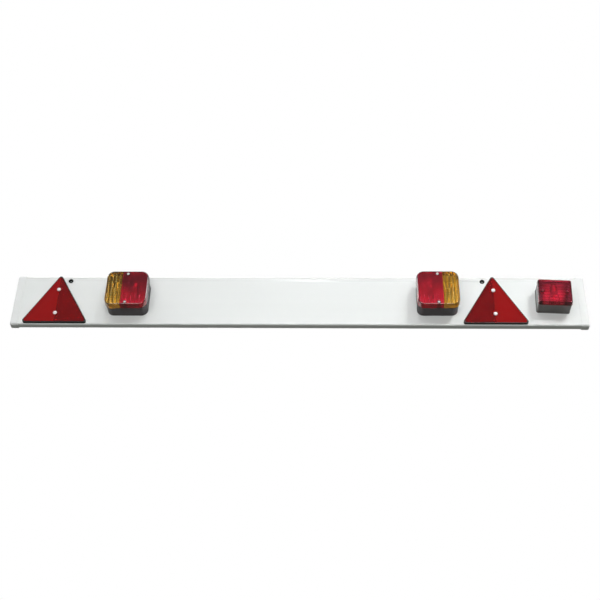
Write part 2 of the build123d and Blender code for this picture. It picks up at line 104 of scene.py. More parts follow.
class Graph:
    """A node tree that is being written."""

    def __init__(self, tree: bpy.types.NodeTree) -> None:
        """Takes the tree to write in."""
        self.tree = tree

    def add(self, kind: str, inputs: dict | None = None, **settings: object) -> Node:
        """Adds a node to the tree.

        Args:
            kind: Type name of the node.
            inputs: Sockets to link or values to set, by input name or number.
            settings: Properties of the node.

        Returns:
            The new node.
        """
        node = self.tree.nodes.new(kind)
        for name, value in settings.items():
            setattr(node, name, value)
        for name, value in (inputs or {}).items():
            self.feed(node.inputs[name], value)
        return node

    def out(self, kind: str, inputs: dict | None = None, **settings: object) -> Socket:
        """Adds a node and returns its first output."""
        return self.add(kind, inputs, **settings).outputs[0]

    def feed(self, socket: Socket, value: object) -> None:
        """Links an input to another node, or sets its plain value.

        Args:
            socket: The input.
            value: The other node's socket, or the value.
        """
        if isinstance(value, Socket):
            self.tree.links.new(value, socket)
        else:
            socket.default_value = value

    def math(self, operation: str, first: object, second: object = 0.0) -> Socket:
        """Adds a Math node and returns its result."""
        return self.out("ShaderNodeMath", {0: first, 1: second}, operation=operation)

    def times(self, first: object, second: object) -> Socket:
        """Multiplies two values and returns the result."""
        return self.math("MULTIPLY", first, second)

    def span(self, value: object, low: object, high: object, start: object = 0.0,
             end: object = 1.0) -> Socket:
        """Maps a value between start and end, and clamped there, to the range from low to high."""
        return self.out("ShaderNodeMapRange", {0: value, 1: start, 2: end, 3: low, 4: high})

    def mix(self, amount: object, first: object, second: object) -> Socket:
        """Adds a mix of two colours and returns its result."""
        values = {0: amount, 6: opaque(first), 7: opaque(second)}
        return self.add("ShaderNodeMix", values, data_type="RGBA").outputs[2]

    def vector(self, x: object = 0.0, y: object = 0.0, z: object = 0.0) -> Socket:
        """Adds a vector of three values and returns it."""
        return self.out("ShaderNodeCombineXYZ", {0: x, 1: y, 2: z})

    def scaled(self, vector: object, factors: object) -> Socket:
        """Multiplies a vector part by part and returns the result."""
        return self.out("ShaderNodeVectorMath", {0: vector, 1: factors}, operation="MULTIPLY")

    def gap(self, first: object, second: object) -> Socket:
        """Adds the distance between two places and returns it."""
        node = self.add("ShaderNodeVectorMath", {0: first, 1: second}, operation="DISTANCE")
        return node.outputs["Value"]

    def noise(self, place: object, scale: object, detail: float, breakup: float = 0.5) -> Socket:
        """Adds a cloudy noise and returns its value."""
        return self.out("ShaderNodeTexNoise", {
            "Vector": place, "Scale": scale, "Detail": detail, "Roughness": breakup})

    def board_place(self) -> Socket:
        """Adds the place of a surface on the board and returns it."""
        return self.add("ShaderNodeTexCoord").outputs["Object"]

    def board_height(self) -> Socket:
        """Adds the height of a surface on the board and returns it."""
        return self.add("ShaderNodeSeparateXYZ", {0: self.board_place()}).outputs[2]

    def board_gap(self, spot: Spot) -> Socket:
        """Adds the distance of a surface from a spot across and up the board and returns it."""
        return self.gap(self.scaled(self.board_place(), (1.0, 0.0, 1.0)), (spot[0], 0.0, spot[1]))


class EffectGroup(Graph):
    """Shader node group with named inputs and outputs."""

    def __init__(self, name: str, inputs: dict[str, float], outputs: tuple[str, ...]) -> None:
        """Makes the group's sockets.

        Args:
            name: Name of the group.
            inputs: Values of the named inputs.
            outputs: Names of the outputs.
        """
        super().__init__(bpy.data.node_groups.new(name, "ShaderNodeTree"))
        sockets = self.tree.interface
        for socket, value in inputs.items():
            made = sockets.new_socket(socket, in_out="INPUT", socket_type="NodeSocketFloat")
            made.default_value = value
        for socket in outputs:
            sockets.new_socket(socket, in_out="OUTPUT", socket_type="NodeSocketFloat")
        self.given = self.add("NodeGroupInput").outputs
        self.result = self.add("NodeGroupOutput").inputs


class SurfaceEffects:
    """The effects that the finishes share."""

    DRIFT_SCALE = 0.03
    DRIFT_RANGE = (0.32, 0.68)
    FILM_START = 0.85
    FILM_BLUR = 0.35
    FILM_BREAKUP = 0.62

    def __init__(self) -> None:
        """Builds each effect's node group once."""
        self.grain = self.build_grain()
        self.film = self.build_film()

    def build_grain(self) -> bpy.types.NodeTree:
        """Writes fine relief and slow tone drift, drawn out along X where Draw is below one.

        Returns:
            Group with the outputs Height and Tone.
        """
        group = EffectGroup("surface_grain", {"Scale": 900.0, "Draw": 1.0}, ("Height", "Tone"))
        scale = group.given["Scale"]
        drawn = group.scaled(group.board_place(), group.vector(group.given["Draw"], 1.0, 1.0))
        broad = group.noise(drawn, group.times(scale, self.DRIFT_SCALE), detail=4.0)
        group.feed(group.result["Height"], group.noise(drawn, scale, detail=3.0))
        group.feed(group.result["Tone"], group.span(broad, 0.0, 1.0, *self.DRIFT_RANGE))
        return group.tree

    def build_film(self) -> bpy.types.NodeTree:
        """Writes a thin uneven film of dust.

        Returns:
            Group with the output Mask.
        """
        group = EffectGroup("dust_film", {"Cover": 0.2, "Scale": 14.0}, ("Mask",))
        cover = group.given["Cover"]
        cloud = group.noise(group.board_place(), group.given["Scale"], detail=7.0, breakup=self.FILM_BREAKUP)
        edge = group.math("SUBTRACT", self.FILM_START, cover)
        patch = group.span(cloud, 0.0, 1.0, edge, group.math("ADD", edge, self.FILM_BLUR))
        group.feed(group.result["Mask"], group.times(patch, cover))
        return group.tree


@dataclass(frozen=True)
class Finish:
    """Surface whose colour drifts between two tones under grain and a little dust."""

    name: str
    colour: Colour
    shade: Colour
    roughness: float
    grain_scale: float = 1200.0
    grain_depth: float = 0.00002
    draw: float = 1.0
    dust: float = 0.10
    bend: float = 1.46

    def material(self, effects: SurfaceEffects) -> Material:
        """Writes the finish as a material.

        Args:
            effects: The shared effects.

        Returns:
            The material.
        """
        made = bpy.data.materials.new(self.name)
        made.use_nodes = True
        graph = Graph(made.node_tree)
        grain = graph.add("ShaderNodeGroup", {"Scale": self.grain_scale, "Draw": self.draw},
                          node_tree=effects.grain).outputs
        mask = graph.out("ShaderNodeGroup", {"Cover": self.dust}, node_tree=effects.film)
        relief = {"Distance": self.grain_depth, "Height": grain["Height"]}
        dulled = min(self.roughness + DUST_DULLS, 1.0)
        shader = made.node_tree.nodes["Principled BSDF"]
        values = {"Base Color": self.colours(graph, grain["Tone"], mask),
                  "Roughness": graph.span(mask, self.roughness, dulled),
                  "Normal": graph.out("ShaderNodeBump", relief), **self.settings()}
        for name, value in values.items():
            graph.feed(shader.inputs[name], value)
        self.let_light_in(graph, shader)
        return made

    def colours(self, graph: Graph, tone: Socket, mask: Socket) -> Socket:
        """Gives the colour over the surface, from the drift of its tone and the mask of its dust."""
        return graph.mix(mask, graph.mix(tone, self.colour, self.shade), DUST_AND_TOP_SHADE)

    def settings(self) -> dict[str, float]:
        """Gives the shader's plain values."""
        return {"IOR": self.bend}

    def let_light_in(self, graph: Graph, shader: Node) -> None:
        """Leaves a surface that stops light as it is."""


@dataclass(frozen=True)
class Rubber(Finish):
    """Dull rubber that gives back little light."""

    bend: float = 1.27


@dataclass(frozen=True)
class GlossyPlastic(Finish):
    """Plastic with a polished skin."""

    bend: float = 1.5
    skin: float = 0.3
    skin_roughness: float = 0.12

    def settings(self) -> dict[str, float]:
        """Adds the polished skin."""
        skin = {"Coat Weight": self.skin, "Coat Roughness": self.skin_roughness}
        return super().settings() | skin


@dataclass(frozen=True)
class ShadedTopPlastic(GlossyPlastic):
    """Polished plastic with painted shade that darkens it towards its top edge."""

    # painted shade: the colour darkens between these heights and is fully shaded above the upper one
    unshaded_below: float = 0.0054
    fully_shaded_above: float = 0.0095
    top_shade_strength: float = 0.26

    def colours(self, graph: Graph, tone: Socket, mask: Socket) -> Socket:
        """Paints shade that darkens the colour towards the top edge."""
        top_shade_mask = graph.span(graph.board_height(), 0.0, self.top_shade_strength, self.unshaded_below, self.fully_shaded_above)
        return graph.mix(top_shade_mask, super().colours(graph, tone, mask), DUST_AND_TOP_SHADE)


@dataclass(frozen=True)
class Metal(Finish):
    """Bare or plated metal, or plastic with a metal coating."""

    grain_depth: float = 0.00001
    plating: float = 1.0

    def settings(self) -> dict[str, float]:
        """Makes the surface metallic."""
        return {"Metallic": self.plating}


@dataclass(frozen=True, kw_only=True)
class SpotLitMetal(Metal):
    """Metal with painted light, lighter near one place on the board, and painted shade that darkens it away
    from there.
    """

    grain_scale: float = 500.0
    grain_depth: float = 0.00002
    dust: float = 0.08
    centre: Spot
    bright: float
    dull: float
    # colour of the painted shade away from the lit place
    shade_tone: Colour

    def colours(self, graph: Graph, tone: Socket, mask: Socket) -> Socket:
        """Fades the metal into painted shade away from the lit place."""
        fade = graph.span(graph.board_gap(self.centre), 0.0, 1.0, self.bright, self.dull)
        return graph.mix(fade, super().colours(graph, tone, mask), self.shade_tone)


@dataclass(frozen=True)
class ClearPlastic(Finish):
    """Clear or coloured plastic or glass that light passes through."""

    grain_scale: float = 60.0
    dust: float = 0.02
    bend: float = 1.49
    passing: float = 1.0

    def colours(self, graph: Graph, tone: Socket, mask: Socket) -> Socket:
        """Gives the tint over the surface, without dust."""
        return graph.mix(tone, self.colour, self.shade)

    def settings(self) -> dict[str, float]:
        """Makes the surface clear."""
        return super().settings() | {"Transmission Weight": self.passing}

    def let_light_in(self, graph: Graph, shader: Node) -> None:
        """Lets the lamps' light reach what is behind the surface, in its own colour.

        Args:
            graph: The material's nodes.
            shader: The surface's shader.
        """
        if self.passing < 1.0:
            return
        tint = tuple(math.sqrt(part) for part in self.colour)
        passed = graph.out("ShaderNodeBsdfTransparent", {"Color": opaque(tint)})
        path = graph.add("ShaderNodeLightPath").outputs
        behind = graph.math("MINIMUM", path["Transmission Depth"], 1.0)
        shaded = graph.times(path["Is Shadow Ray"], behind)
        both = graph.out("ShaderNodeMixShader", {0: shaded, 1: shader.outputs[0], 2: passed})
        graph.feed(graph.tree.nodes["Material Output"].inputs["Surface"], both)


@dataclass(frozen=True, kw_only=True)
class HalvedRed(ClearPlastic):
    """Red reflector moulding whose inner half is painted darker than its outer half: painted shade for the
    light that its two halves return differently.
    """

    grain_depth: float = 0.00001
    # colour of the painted shade on the inner half
    inner: Colour

    def colours(self, graph: Graph, tone: Socket, mask: Socket) -> Socket:
        """Gives the outer half the drifting tint and paints the inner half darker, as shade."""
        outer = graph.add("ShaderNodeAttribute", attribute_name=OUTER_HALF).outputs["Fac"]
        return graph.mix(outer, self.inner, super().colours(graph, tone, mask))


def lens_finishes(name: str, clear: Tones, deep: Tones, frost: float) -> tuple[ClearPlastic, ...]:
    """Gives the three finishes of a lens.

    Args:
        name: Name of the finish of its front.
        clear: The two tones of its front and of the optics inside.
        deep: The two darker tones of its edge and skirt, painted shade.
        frost: Roughness of the optics inside.

    Returns:
        The finishes of its front, its optics, and its edge and skirt.
    """
    return (ClearPlastic(name, *clear, POLISH, bend=FRONT_BEND),
            ClearPlastic(f"{name}_optics", *clear, frost),
            ClearPlastic(f"{name}_skirt", *deep, POLISH, bend=EDGE_BEND))


class Palette:
    """Every finish of the board as a material."""

    FINISHES = (
        # The board's finish paints shade along its top edge.
        ShadedTopPlastic("board_white", (0.82, 0.845, 0.838), (0.795, 0.82, 0.812), 0.34,
                        grain_scale=700.0, grain_depth=0.000012, draw=0.02, dust=0.05),
        GlossyPlastic("cap_white", (0.81, 0.83, 0.825), (0.785, 0.805, 0.80), 0.36,
                      grain_scale=1300.0, dust=0.06),
        Rubber("rubber_black", (0.006, 0.006, 0.0065), (0.010, 0.010, 0.011), 0.66,
               grain_scale=1500.0, grain_depth=0.00003, dust=0.08),
        GlossyPlastic("tray_black", (0.012, 0.011, 0.012), (0.018, 0.017, 0.018), 0.34,
                      grain_scale=1400.0),
        Finish("housing_grey", (0.041, 0.031, 0.037), (0.050, 0.039, 0.045), 0.46,
               grain_depth=0.00003),
        GlossyPlastic("fog_grey", (0.056, 0.051, 0.046), (0.068, 0.062, 0.056), 0.30,
                      dust=0.06, skin=0.6),
        Finish("clip_grey", (0.30, 0.30, 0.29), (0.36, 0.36, 0.35), 0.5, grain_scale=1300.0, dust=0.15),
        Finish("cable_black", (0.014, 0.014, 0.015), (0.024, 0.024, 0.025), 0.48,
               grain_scale=1400.0, draw=0.2, dust=0.2),
        Metal("zinc_steel", (0.90, 0.90, 0.90), (0.80, 0.81, 0.82), 0.36,
              grain_scale=1100.0, plating=0.6),
        # The liners' lit spots and the darker metal round them are painted light and shade.
        SpotLitMetal("liner_left", (0.86, 0.86, 0.84), (0.78, 0.78, 0.76), 0.24, plating=0.65,
                    centre=(-0.3500, -0.094), bright=0.036, dull=0.075, shade_tone=(0.36, 0.35, 0.33)),
        SpotLitMetal("liner_right", (0.86, 0.86, 0.84), (0.78, 0.78, 0.76), 0.24, plating=0.65,
                    centre=(0.404, -0.060), bright=0.046, dull=0.100, shade_tone=(0.60, 0.59, 0.56)),
        SpotLitMetal("fog_liner", (0.92, 0.92, 0.90), (0.86, 0.86, 0.84), 0.36, plating=0.40,
                    centre=(0.664, -0.044), bright=0.015, dull=0.033, shade_tone=(0.12, 0.12, 0.12)),
        Metal("bulb_metal", (0.86, 0.82, 0.72), (0.78, 0.74, 0.66), 0.16, grain_scale=1400.0),
        Metal("holder_steel", (0.80, 0.79, 0.77), (0.70, 0.70, 0.68), 0.2, grain_scale=1000.0, draw=0.1),
        Metal("fog_metal", (0.42, 0.39, 0.34), (0.34, 0.32, 0.28), 0.34, grain_scale=1000.0),
        Metal("contact_brass", (0.80, 0.58, 0.25), (0.66, 0.46, 0.18), 0.28),
        # Each lens's darker edge and skirt tones are painted shade.
        *lens_finishes("lens_red", ((0.72, 0.066, 0.128), (0.66, 0.058, 0.112)),
                       ((0.18, 0.012, 0.030), (0.15, 0.010, 0.025)), 0.31),
        *lens_finishes("fog_red", ((0.92, 0.090, 0.190), (0.86, 0.080, 0.170)),
                       ((0.20, 0.012, 0.035), (0.17, 0.010, 0.030)), 0.25),
        *lens_finishes("lens_amber", ((0.97, 0.68, 0.18), (0.93, 0.65, 0.16)),
                       ((0.36, 0.20, 0.045), (0.31, 0.17, 0.035)), 0.05),
        # The triangles' darker inner halves are painted shade.
        HalvedRed("prism_red", (0.64, 0.010, 0.012), (0.58, 0.009, 0.010), 0.06,
                  passing=0.6, inner=(0.40, 0.006, 0.009)),
        ClearPlastic("bulb_glass", (0.97, 0.97, 0.96), (0.95, 0.95, 0.94), 0.01,
                     grain_scale=40.0, grain_depth=0.00001, dust=0.0, bend=1.5),
        HalvedRed("prism_cells", (0.60, 0.022, 0.022), (0.50, 0.016, 0.018), 0.25,
                  grain_scale=200.0, dust=0.0, passing=0.0, inner=(0.30, 0.010, 0.012)),
    )

    def __init__(self) -> None:
        """Writes all the materials."""
        effects = SurfaceEffects()
        self.made = {finish.name: finish.material(effects) for finish in self.FINISHES}

    def __getitem__(self, name: str) -> Material:
        """Gives the material of that name."""
        return self.made[name]

    def dress(self, node: str, finish: str) -> None:
        """Gives a CAD node the finish of that name."""
        give(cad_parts[node].data, self.made[finish])
        log.info("dressed %s in %s", node, finish)


class ShapeTree(Graph):
    """Geometry Nodes tree with named inputs, whose result is realised and given its material."""

    def __init__(self, name: str, inputs: dict[str, str]) -> None:
        """Makes the tree's sockets.

        Args:
            name: Name of the tree.
            inputs: Socket kinds of the named inputs.
        """
        super().__init__(bpy.data.node_groups.new(name, "GeometryNodeTree"))
        self.tree.is_modifier = True
        sockets = self.tree.interface
        for socket, kind in {**inputs, "finish": "Material"}.items():
            sockets.new_socket(socket, in_out="INPUT", socket_type=f"NodeSocket{kind}")
        sockets.new_socket("shape", in_out="OUTPUT", socket_type="NodeSocketGeometry")
        self.given = self.add("NodeGroupInput").outputs

    def test(self, operation: str, first: object, second: object) -> Socket:
        """Adds a comparison of two numbers and returns its result."""
        return self.out("FunctionNodeCompare", {0: first, 1: second}, operation=operation)

    def either(self, first: object, second: object) -> Socket:
        """Adds a test that holds if one of two does, and returns its result."""
        return self.out("FunctionNodeBooleanMath", {0: first, 1: second}, operation="OR")

    def place(self, shape: object, move: object = (0, 0, 0), turn: object = (0, 0, 0),
              scale: object = (1, 1, 1)) -> Socket:
        """Adds a move, turn and scale of a shape and returns the result."""
        return self.out("GeometryNodeTransform", {
            "Geometry": shape, "Translation": move, "Rotation": turn, "Scale": scale})

    def template(self, name: str) -> Socket:
        """Adds the shape of the object that an input holds and returns it."""
        return self.add("GeometryNodeObjectInfo", {"Object": self.given[name]}).outputs["Geometry"]

    def ring(self, sides: int, radius: object) -> Socket:
        """Adds a ring for the section of a wire and returns it."""
        return self.out("GeometryNodeCurvePrimitiveCircle", {"Resolution": sides, "Radius": radius})

    def helix(self, steps: int, turns: object, radius: object, height: object) -> Socket:
        """Adds a helix about the Z axis, with so many steps to a turn, and returns it."""
        return self.out("GeometryNodeCurveSpiral", {
            "Resolution": steps, "Rotations": turns, "Start Radius": radius, "End Radius": radius,
            "Height": height})

    def wire(self, curve: object, section: object) -> Socket:
        """Adds a closed wire along a curve and returns it."""
        return self.out("GeometryNodeCurveToMesh", {
            "Curve": curve, "Profile Curve": section, "Fill Caps": True})

    def copies(self, points: object, shape: object, **settings: object) -> Socket:
        """Adds a copy of a shape on every point and returns them."""
        inputs = {"Points": points, "Instance": shape, **settings}
        return self.out("GeometryNodeInstanceOnPoints", inputs)

    def close(self, shape: Socket) -> None:
        """Ends the tree.

        Args:
            shape: The geometry that the tree has made.
        """
        real = self.out("GeometryNodeRealizeInstances", {"Geometry": shape})
        finished = {"Geometry": real, "Material": self.given["finish"]}
        self.add("NodeGroupOutput", {"shape": self.out("GeometryNodeSetMaterial", finished)})

    def grow(self, finish: Material, seats: list[Vector] | None = None, **values: object) -> Mesh:
        """Runs the tree.

        Args:
            finish: Material of the result.
            seats: Points that a tree with a geometry input works on.
            values: The tree's other inputs by name.

        Returns:
            The result as a plain mesh.
        """
        points = bpy.data.meshes.new("points")
        points.from_pydata(seats or [], [], [])
        carrier = new_object(points)
        modifier = carrier.modifiers.new("shape", "NODES")
        modifier.node_group = self.tree
        for item in self.tree.interface.items_tree:
            if item.in_out == "INPUT" and item.socket_type != "NodeSocketGeometry":
                modifier[item.identifier] = {**values, "finish": finish}[item.name]
        return plain_mesh(carrier)


class FluteTree(ShapeTree):
    """Row of rounded flutes that stand upright side by side, centred on the origin."""

    SIDES = 28

    def __init__(self) -> None:
        """Writes the tree."""
        super().__init__("lens_flutes", {
            "count": "Int", "pitch": "Float", "half_width": "Float", "height": "Float", "length": "Float"})
        given = self.given
        rod = self.out("GeometryNodeMeshCylinder", {
            "Vertices": self.SIDES, "Radius": 1.0, "Depth": given["length"]})
        flute = self.place(rod, scale=self.vector(given["half_width"], given["height"], 1.0))
        width = self.times(self.math("SUBTRACT", given["count"], 1.0), given["pitch"])
        row = self.out("GeometryNodeMeshLine", {
            "Count": given["count"], "Start Location": self.vector(self.times(width, -0.5)),
            "Offset": self.vector(given["pitch"])})
        self.close(self.copies(row, flute))


class CellTree(ShapeTree):
    """Bed of corner cells that fills a triangle standing on the X axis, clear of two screw bosses."""

    SIZES = ("pitch", "row_pitch", "side", "border", "reach", "boss", "lower", "upper", "outward")

    def __init__(self) -> None:
        """Writes the tree."""
        super().__init__("corner_cells", {
            "cell": "Object", "columns": "Int", "rows": "Int", **dict.fromkeys(self.SIZES, "Float")})
        given = self.given
        width = self.times(self.math("SUBTRACT", given["columns"], 1.0), given["pitch"])
        height = self.times(self.math("SUBTRACT", given["rows"], 1.0), given["row_pitch"])
        grid = self.out("GeometryNodeMeshGrid", {
            "Size X": width, "Size Y": height, "Vertices X": given["columns"], "Vertices Y": given["rows"]})
        row = self.math("MODULO", self.out("GeometryNodeInputIndex"), given["rows"])
        stagger = self.times(self.math("MODULO", row, 2.0), given["pitch"])
        shift = self.vector(self.times(stagger, 0.5), self.times(height, 0.5))
        bed = self.out("GeometryNodeSetPosition", {"Geometry": grid, "Offset": shift})
        place = self.out("GeometryNodeInputPosition")
        across, up, _ = self.add("ShaderNodeSeparateXYZ", {0: place}).outputs
        bare = {"Geometry": bed, "Selection": self.outside(place, across, up)}
        kept = self.out("GeometryNodeDeleteGeometry", bare, domain="POINT")
        cells = self.copies(kept, self.template("cell"))
        half = self.test("GREATER_THAN", self.times(across, given["outward"]), 0.0)
        marked = self.out("GeometryNodeStoreNamedAttribute", {
            "Geometry": self.out("GeometryNodeRealizeInstances", {"Geometry": cells}),
            "Name": OUTER_HALF, "Value": half}, data_type="FLOAT", domain="FACE")
        self.close(self.place(marked, turn=(QUARTER_TURN, 0, 0)))

    def outside(self, place: Socket, across: Socket, up: Socket) -> Socket:
        """Tells which points stay without a cell.

        Args:
            place: Place of a point.
            across: Its place along X.
            up: Its height in the triangle.

        Returns:
            Whether the point is past the border or the reach, or at a boss.
        """
        given = self.given
        slope = self.math("ADD", self.times(self.math("ABSOLUTE", across), ROOT_3 / 2), self.times(up, 0.5))
        limit = self.math("SUBTRACT", self.times(given["side"], ROOT_3 / 4), given["border"])
        centre = self.vector(0.0, self.times(given["side"], ROOT_3 / 6))
        tests = [self.test("LESS_THAN", up, given["border"]), self.test("GREATER_THAN", slope, limit),
                 self.test("GREATER_THAN", self.gap(place, centre), given["reach"])]
        for name in ("lower", "upper"):
            apart = self.gap(place, self.vector(0.0, given[name]))
            tests.append(self.test("LESS_THAN", apart, given["boss"]))
        return reduce(self.either, tests)


class SeatTree(ShapeTree):
    """One fastener on every seat, each turned about its own axis by a fixed random angle."""

    def __init__(self) -> None:
        """Writes the tree."""
        super().__init__("seated_fasteners", {"seats": "Geometry", "fastener": "Object", "seed": "Int"})
        chance = self.add("FunctionNodeRandomValue", {
            2: 0.0, 3: 2 * math.pi, "Seed": self.given["seed"]}, data_type="FLOAT").outputs[1]
        self.close(self.copies(
            self.given["seats"], self.template("fastener"), Rotation=self.vector(0.0, chance)))


class ThreadTree(ShapeTree):
    """Screw thread that winds round the Y axis from the origin."""

    STEPS = 20
    SIDES = 4

    def __init__(self) -> None:
        """Writes the tree."""
        sizes = ("radius", "length", "turns", "ridge")
        super().__init__("screw_thread", dict.fromkeys(sizes, "Float"))
        radius, length, turns, ridge = (self.given[name] for name in sizes)
        thread = self.wire(self.helix(self.STEPS, turns, radius, length), self.ring(self.SIDES, ridge))
        self.close(self.place(thread, turn=(-QUARTER_TURN, 0, 0)))


class FilamentTree(ShapeTree):
    """Coiled filament on two support wires, one at every seat."""

    STEPS = 10
    TURNS = 14.0
    SIDES = 8
    POST_SIZE = (2.2, 2.2, 2.2)
    POST_FOOT = 0.6

    def __init__(self) -> None:
        """Writes the tree."""
        sizes = ("length", "coil", "wire", "stem")
        super().__init__("bulb_filaments", {"seats": "Geometry", **dict.fromkeys(sizes, "Float")})
        length, coil, wire, stem = (self.given[name] for name in sizes)
        half = self.times(length, 0.5)
        section = self.ring(self.SIDES, wire)
        level = self.place(self.helix(self.STEPS, self.TURNS, coil, length),
                           move=self.vector(self.times(half, -1.0)), turn=(0, QUARTER_TURN, 0))
        parts = self.add("GeometryNodeJoinGeometry")
        self.feed(parts.inputs[0], self.wire(level, section))
        thick = self.place(section, scale=self.POST_SIZE)
        for sign in (-1.0, 1.0):
            across = self.times(half, sign)
            foot = self.vector(self.times(across, self.POST_FOOT), 0.0, stem)
            post = self.out("GeometryNodeCurvePrimitiveLine", {"Start": foot, "End": self.vector(across)})
            self.feed(parts.inputs[0], self.wire(post, thick))
        self.close(self.copies(self.given["seats"], parts.outputs[0]))


def new_object(data: bpy.types.ID, name: str = "helper") -> bpy.types.Object:
    """Links a new object to the scene.

    Args:
        data: Its mesh, light or camera.
        name: Its name.

    Returns:
        The object.
    """
    made = bpy.data.objects.new(name, data)
    bpy.context.scene.collection.objects.link(made)
    return made


def plain_mesh(carrier: bpy.types.Object) -> Mesh:
    """Turns a helper's evaluated shape into a plain mesh.

    Args:
        carrier: The helper, which is removed.

    Returns:
        The mesh with its modifiers applied.
    """
    seen = bpy.context.evaluated_depsgraph_get()
    mesh = bpy.data.meshes.new_from_object(
        carrier.evaluated_get(seen), preserve_all_data_layers=True, depsgraph=seen)
    drop(carrier)
    return mesh


def drop(helper: bpy.types.Object) -> None:
    """Removes a helper's mesh, and the helper with it."""
    bpy.data.meshes.remove(helper.data)


def combine(body: Mesh, tool: Mesh, operation: str) -> Mesh:
    """Joins, cuts or trims one closed mesh with another.

    Args:
        body: Mesh that is worked on.
        tool: Mesh that it is combined with.
        operation: UNION, DIFFERENCE or INTERSECT.

    Returns:
        The combined mesh.
    """
    carrier = new_object(body)
    helper = new_object(tool)
    modifier = carrier.modifiers.new("combine", "BOOLEAN")
    modifier.solver = "EXACT"
    modifier.operation = operation
    modifier.object = helper
    mesh = plain_mesh(carrier)
    drop(helper)
    return mesh


@contextmanager
def editing(mesh: Mesh) -> Iterator[bmesh.types.BMesh]:
    """Opens a mesh for editing and writes it back at the end.

    Args:
        mesh: The mesh.

    Yields:
        Its shape to edit.
    """
    shape = bmesh.new()
    shape.from_mesh(mesh)
    yield shape
    shape.to_mesh(mesh)
    shape.free()


def merged_copy(node: str) -> Mesh:
    """Copies a CAD node's mesh with its loose triangles merged.

    Args:
        node: Name of the node.

    Returns:
        The copy, with nothing but its points and faces.
    """
    shape = bmesh.new()
    shape.from_mesh(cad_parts[node].data)
    bmesh.ops.remove_doubles(shape, verts=shape.verts, dist=CLOSE)
    shape.verts.index_update()
    faces = [[point.index for point in face.verts] for face in shape.faces]
    mesh = bpy.data.meshes.new(node)
    mesh.from_pydata([point.co for point in shape.verts], [], faces)
    shape.free()
    return mesh


def part_faces(shape: bmesh.types.BMesh, spot: Place, way: Place) -> None:
    """Parts all the faces that a plane through a spot crosses."""
    parts = [*shape.verts, *shape.edges, *shape.faces]
    bmesh.ops.bisect_plane(shape, geom=parts, plane_co=spot, plane_no=way)


def soften(mesh: Mesh, angle: float = 32.0) -> None:
    """Shades a mesh smooth, except across edges sharper than an angle in degrees."""
    mesh.polygons.foreach_set("use_smooth", [True] * len(mesh.polygons))
    mesh.set_sharp_from_angle(angle=math.radians(angle))


def even_shading(mesh: Mesh, creases: tuple[float, ...] = ()) -> Mesh:
    """Shades a moulding smooth over its rounded edges and leaves its flat faces flat.

    Args:
        mesh: The moulding.
        creases: Heights of level lines that stay sharp.

    Returns:
        The shaded mesh.
    """
    soften(mesh)
    for edge in mesh.edges:
        ends = [mesh.vertices[index].co.z for index in edge.vertices]
        if any(max(abs(end - level) for end in ends) < CLOSE for level in creases):
            edge.use_edge_sharp = True
    carrier = new_object(mesh)
    modifier = carrier.modifiers.new("shading", "WEIGHTED_NORMAL")
    modifier.weight = FLAT_WEIGHT
    modifier.keep_sharp = True
    return plain_mesh(carrier)


def closed_mesh(points: list[Place], faces: list[list[int]]) -> Mesh:
    """Makes a closed mesh whose faces look outwards.

    Args:
        points: Places of its points.
        faces: Numbers of each face's points.

    Returns:
        The mesh.
    """
    mesh = bpy.data.meshes.new("closed")
    mesh.from_pydata(points, [], faces)
    with editing(mesh) as shape:
        bmesh.ops.recalc_face_normals(shape, faces=shape.faces)
    return mesh


def prism_block(outline: list[Spot], near: float, far: float) -> Mesh:
    """Makes a closed block from an outline across and up, between two depths in front of the board.

    Args:
        outline: Corners of the outline, anticlockwise from the front.
        near: Depth of its back.
        far: Depth of its front.

    Returns:
        The block's mesh.
    """
    count = len(outline)
    points = [(x, -depth, z) for depth in (near, far) for x, z in outline]
    faces = [list(range(count))[::-1], list(range(count, 2 * count))]
    faces += [[i, (i + 1) % count, count + (i + 1) % count, count + i] for i in range(count)]
    return closed_mesh(points, faces)


def disc(radius: float, centre: Spot = (0.0, 0.0), steps: int = 32, turn: float = 0.0) -> list[Spot]:
    """Gives the outline of a circle, from an angle on."""
    angles = [turn + 2 * math.pi * step / steps for step in range(steps)]
    return [(centre[0] + radius * math.cos(angle), centre[1] + radius * math.sin(angle))
            for angle in angles]


def room_outline(width: float, height: float, corner: float, ends: Spot, steps: int = 8) -> list[Spot]:
    """Gives the outline of a rectangle with rounded corners, centred on the origin and cut off square.

    Args:
        width: Its size across.
        height: Its size up.
        corner: Radius of its corners.
        ends: Places across where it is cut off, if they are inside it.
        steps: How many edges round a corner.

    Returns:
        The points in order.
    """
    spots = []
    for turn, (right, up) in enumerate(((1, 1), (-1, 1), (-1, -1), (1, -1))):
        middle = (right * (width / 2 - corner), up * (height / 2 - corner))
        angles = [QUARTER_TURN * (turn + step / steps) for step in range(steps + 1)]
        arc = [(middle[0] + corner * math.cos(a), middle[1] + corner * math.sin(a)) for a in angles]
        end = max(ends) if right > 0 else min(ends)
        spots += arc if abs(end) > width / 2 else [(end, up * height / 2)]
    return spots


def lathe(profile: list[Spot], steps: int) -> Mesh:
    """Turns a profile about the Y axis into a closed mesh.

    Args:
        profile: Radius and place along Y of each point, from axis to axis.
        steps: How many faces round the axis.

    Returns:
        The mesh.
    """
    points, rings, faces = [], [], []
    for radius, along in profile:
        ring = disc(radius, steps=steps if radius > CLOSE else 1)
        rings.append(range(len(points), len(points) + len(ring)))
        points += [(x, along, z) for x, z in ring]
    for first, second in zip(rings, rings[1:]):
        for i in range(steps):
            corners = [first[i % len(first)], first[(i + 1) % len(first)],
                       second[(i + 1) % len(second)], second[i % len(second)]]
            faces.append(list(dict.fromkeys(corners)))
    return closed_mesh(points, faces)


